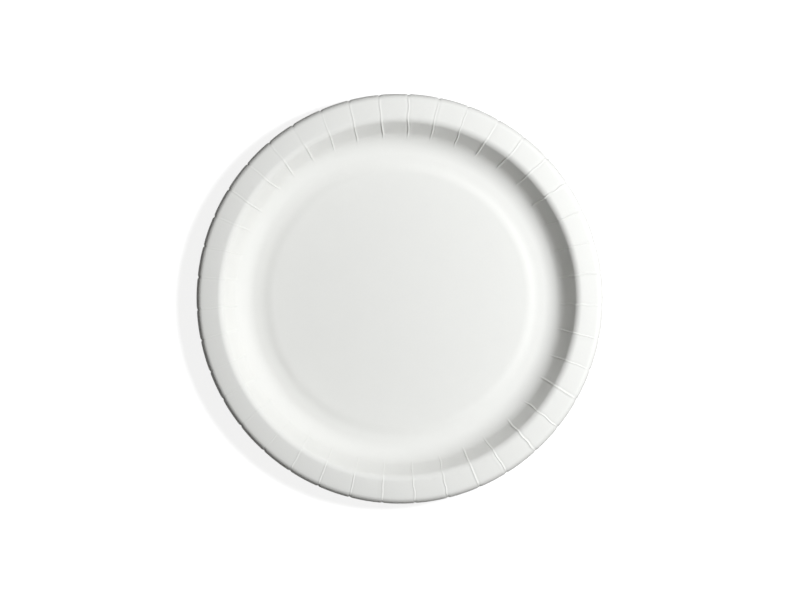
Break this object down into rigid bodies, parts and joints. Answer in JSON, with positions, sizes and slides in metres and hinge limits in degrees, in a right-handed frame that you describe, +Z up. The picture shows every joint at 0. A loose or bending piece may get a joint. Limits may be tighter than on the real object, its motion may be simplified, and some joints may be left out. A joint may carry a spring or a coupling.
{
  "type": "paper plate",
  "caption": "Round disposable paper plate pressed from one coated board, with a shallow well, pleated wall and rim, and a turned-down lip.",
  "frame": {"origin": "centre of the plate on the plane that it rests on", "axes": "+Z up along the plate's axis, towards the open side; +X and +Y across it, with the picture's right along +X"},
  "size_m": [0.2287, 0.2287, 0.0191],
  "materials": {
    "coated_board": "satin"
  },
  "bodies": {
    "root": {"plate": "coated_board"}
  },
  "joints": []
}
